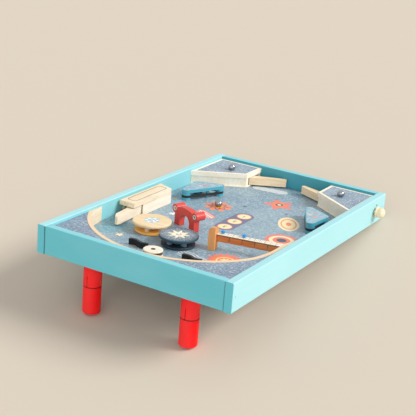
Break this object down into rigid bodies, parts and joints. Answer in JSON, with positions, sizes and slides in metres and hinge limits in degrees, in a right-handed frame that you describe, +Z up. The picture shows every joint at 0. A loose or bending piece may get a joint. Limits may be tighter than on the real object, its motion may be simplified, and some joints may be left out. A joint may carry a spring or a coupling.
{
  "type": "tabletop pinball game",
  "caption": "Wooden tabletop pinball game: sloped painted tray on two plug-in legs, with push-button flippers, spinners and steel balls.",
  "frame": {"origin": "on the ground under the middle of the whole game", "axes": "+X to the player's right, +Y away from the player up the slope, +Z up"},
  "size_m": [0.4232, 0.6, 0.1521],
  "materials": {
    "turquoise_paint": "satin",
    "beech": "satin",
    "stained_beech": "satin",
    "orange_stain": "satin",
    "printed_board": "satin",
    "red_paint": "gloss",
    "coral_paint": "satin",
    "navy_paint": "satin",
    "sling_paint": "satin",
    "rubber_band": "matte",
    "blue_peg_paint": "gloss",
    "polished_steel": "polished",
    "dark_steel": "satin"
  },
  "bodies": {
    "table": {"flipper_right_housing": "beech", "flipper_right_cover": "beech", "flipper_left_housing": "beech", "flipper_left_cover": "beech", "kicker_box": "beech", "kicker_cover": "beech", "bumper_cap": "beech", "bumper_stem": "beech", "curved_rail": "beech", "bridge_slat": "beech", "gate_plug_right": "beech", "gate_plug_left": "beech", "side_board_right": "turquoise_paint", "side_board_left": "turquoise_paint", "end_board_far": "turquoise_paint", "end_board_near": "turquoise_paint", "play_panel": "printed_board", "corner_block_right": "printed_board", "corner_block_left": "printed_board", "leg_socket_right": "red_paint", "leg_socket_left": "red_paint", "gate_arch": "coral_paint", "bridge_post": "stained_beech", "fence_right": "navy_paint", "fence_left": "navy_paint", "sling_right_frame": "sling_paint", "sling_left_frame": "sling_paint", "sling_right_band": "rubber_band", "sling_left_band": "rubber_band", "flipper_right_spring": "polished_steel", "flipper_left_spring": "polished_steel", "kicker_spring": "polished_steel", "flipper_right_pivot_pin": "polished_steel", "flipper_left_pivot_pin": "polished_steel", "kicker_pivot_pin": "polished_steel", "spinner_plain_axle": "polished_steel", "spinner_compass_axle": "polished_steel", "flap_rod": "dark_steel"},
    "leg_right": {"leg_right": "red_paint"},
    "leg_left": {"leg_left": "red_paint"},
    "flipper_right": {"flipper_right_lever": "beech"},
    "flipper_left": {"flipper_left_lever": "beech"},
    "button_right": {"flipper_right_button": "beech"},
    "button_left": {"flipper_left_button": "beech"},
    "kicker": {"kicker_lever": "beech"},
    "kicker_button": {"kicker_button": "beech"},
    "spinner_plain": {"spinner_plain_disc": "beech", "spinner_plain_base": "orange_stain"},
    "spinner_compass": {"spinner_compass_disc": "navy_paint", "spinner_compass_base": "navy_paint"},
    "flap_1": {"bridge_flap_1": "stained_beech"},
    "flap_2": {"bridge_flap_2": "stained_beech"},
    "flap_3": {"bridge_flap_3": "stained_beech"},
    "flap_4": {"bridge_flap_4": "stained_beech"},
    "flap_5": {"bridge_flap_5": "stained_beech"},
    "score_peg_1": {"score_peg_1": "blue_peg_paint"},
    "score_peg_2": {"score_peg_2": "blue_peg_paint"},
    "ball_deck": {"ball_on_deck": "polished_steel"},
    "ball_right": {"ball_on_cover_right": "polished_steel"},
    "ball_left": {"ball_on_cover_left": "polished_steel"}
  },
  "joints": [
    {"name": "leg_right_pull", "type": "slide", "parent": "table", "child": "leg_right", "axis": [0, 0.1698, -0.9855], "range_m": [0, 0.026]},
    {"name": "leg_left_pull", "type": "slide", "parent": "table", "child": "leg_left", "axis": [0, 0.1698, -0.9855], "range_m": [0, 0.026]},
    {"name": "flipper_right_swing", "type": "hinge", "parent": "table", "child": "flipper_right", "pos_m": [0.086, -0.24187, 0.03693], "axis": [0, 0.1698, -0.9855], "range_deg": [0, 36], "stiffness_Nm_per_rad": 0.03, "springref_deg": -5.73},
    {"name": "button_right_press", "type": "slide", "parent": "table", "child": "button_right", "axis": [-1, 0, 0], "range_m": [0, 0.0028], "deforming": ["flipper_right_spring"]},
    {"name": "flipper_left_swing", "type": "hinge", "parent": "table", "child": "flipper_left", "pos_m": [-0.086, -0.24187, 0.03693], "axis": [0, -0.1698, 0.9855], "range_deg": [0, 36], "stiffness_Nm_per_rad": 0.03, "springref_deg": -5.73},
    {"name": "button_left_press", "type": "slide", "parent": "table", "child": "button_left", "axis": [1, 0, 0], "range_m": [0, 0.0028], "deforming": ["flipper_left_spring"]},
    {"name": "kicker_swing", "type": "hinge", "parent": "table", "child": "kicker", "pos_m": [0.15, 0.05476, 0.08803], "axis": [0, -0.1698, 0.9855], "range_deg": [0, 14], "stiffness_Nm_per_rad": 0.06, "springref_deg": -5.73},
    {"name": "kicker_button_press", "type": "slide", "parent": "table", "child": "kicker_button", "axis": [-1, 0, 0], "range_m": [0, 0.003], "deforming": ["kicker_spring"]},
    {"name": "spinner_plain_spin", "type": "hinge", "parent": "table", "child": "spinner_plain", "pos_m": [0.082, 0.11556, 0.09445], "axis": [0, -0.1698, 0.9855], "continuous": true},
    {"name": "spinner_compass_spin", "type": "hinge", "parent": "table", "child": "spinner_compass", "pos_m": [0.0075, 0.14266, 0.09912], "axis": [0, -0.1698, 0.9855], "continuous": true},
    {"name": "flap_1_swing", "type": "hinge", "parent": "table", "child": "flap_1", "pos_m": [-0.06342, 0.10944, 0.11054], "axis": [-0.9781, -0.2049, -0.0353], "range_deg": [-60, 60]},
    {"name": "flap_2_swing", "type": "hinge", "parent": "table", "child": "flap_2", "pos_m": [-0.08582, 0.10475, 0.10973], "axis": [-0.9781, -0.2049, -0.0353], "range_deg": [-60, 60]},
    {"name": "flap_3_swing", "type": "hinge", "parent": "table", "child": "flap_3", "pos_m": [-0.10822, 0.10006, 0.10893], "axis": [-0.9781, -0.2049, -0.0353], "range_deg": [-60, 60]},
    {"name": "flap_4_swing", "type": "hinge", "parent": "table", "child": "flap_4", "pos_m": [-0.13062, 0.09537, 0.10812], "axis": [-0.9781, -0.2049, -0.0353], "range_deg": [-60, 60]},
    {"name": "flap_5_swing", "type": "hinge", "parent": "table", "child": "flap_5", "pos_m": [-0.15183, 0.09092, 0.10735], "axis": [-0.9781, -0.2049, -0.0353], "range_deg": [-60, 60]},
    {"name": "score_peg_1_lift", "type": "slide", "parent": "table", "child": "score_peg_1", "axis": [0, -0.1698, 0.9855], "range_m": [0, 0.03]},
    {"name": "score_peg_2_lift", "type": "slide", "parent": "table", "child": "score_peg_2", "axis": [0, -0.1698, 0.9855], "range_m": [0, 0.03]},
    {"name": "ball_deck_lift", "type": "slide", "parent": "table", "child": "ball_deck", "axis": [0, -0.1698, 0.9855], "range_m": [0, 0.04]},
    {"name": "ball_right_lift", "type": "slide", "parent": "table", "child": "ball_right", "axis": [0, -0.1698, 0.9855], "range_m": [0, 0.04]},
    {"name": "ball_left_lift", "type": "slide", "parent": "table", "child": "ball_left", "axis": [0, -0.1698, 0.9855], "range_m": [0, 0.04]}
  ],
  "couplings": [
    {"joint": "button_right_press", "follows": "flipper_right_swing", "m_per_rad": 0.00445},
    {"joint": "button_left_press", "follows": "flipper_left_swing", "m_per_rad": 0.00445},
    {"joint": "kicker_button_press", "follows": "kicker_swing", "m_per_rad": 0.0122}
  ]
}
